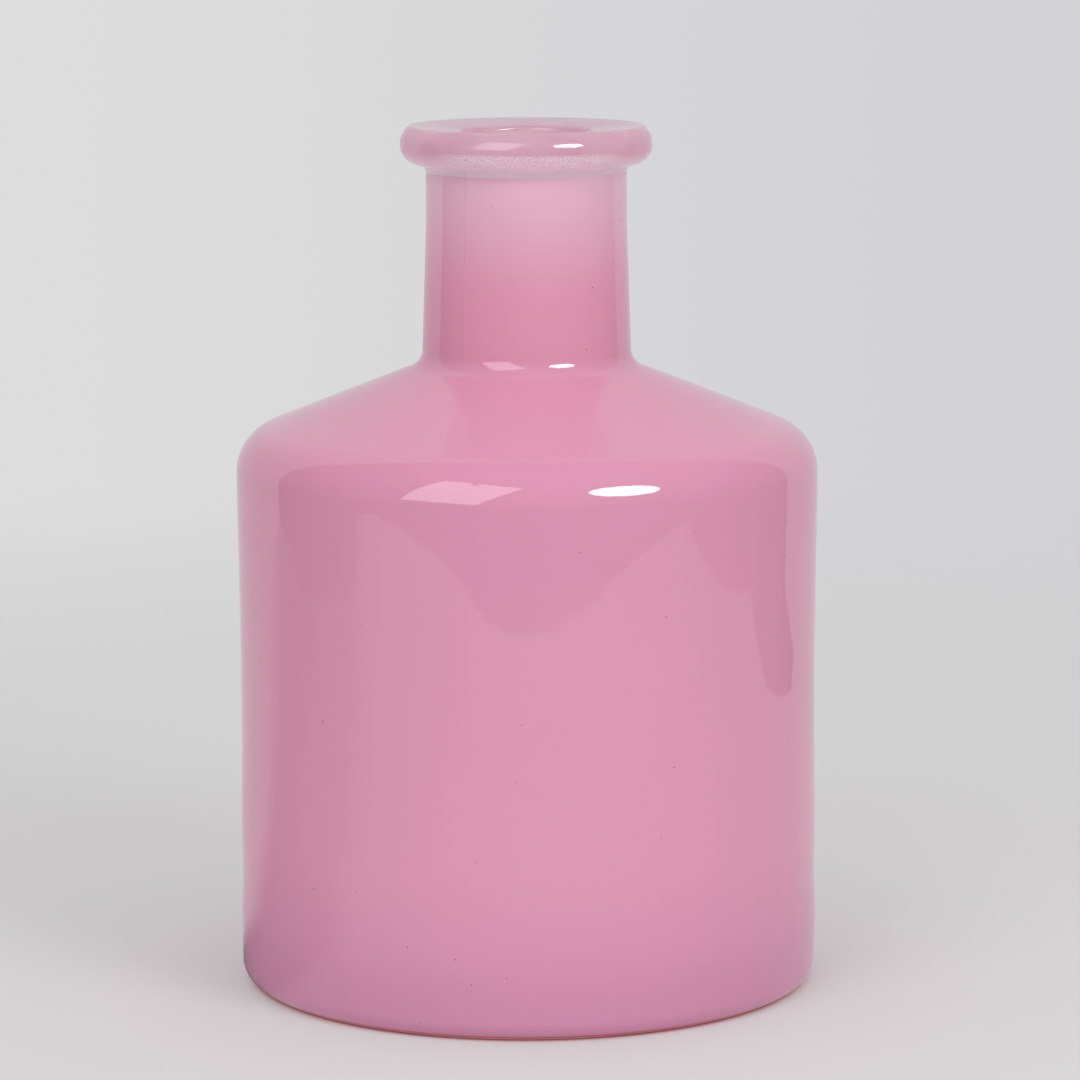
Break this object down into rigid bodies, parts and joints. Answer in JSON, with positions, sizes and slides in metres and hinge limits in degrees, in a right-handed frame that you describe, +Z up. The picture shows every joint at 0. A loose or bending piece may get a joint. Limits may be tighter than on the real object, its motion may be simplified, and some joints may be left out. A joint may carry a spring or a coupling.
{
  "type": "glass bottle vase",
  "caption": "Bottle-shaped glass vase: straight round body, sloping shoulder, slim neck and rolled lip, holding water and a few stems.",
  "frame": {"origin": "middle of the base, on the surface that the vase stands on", "axes": "+Z up along the vase's axis, from the base to the mouth"},
  "size_m": [0.1202, 0.1202, 0.1783],
  "materials": {
    "pink_glass": "glossy, milky pink glass, paler at the neck and lip"
  },
  "bodies": {
    "root": {"bottle": "pink_glass"}
  },
  "joints": []
}
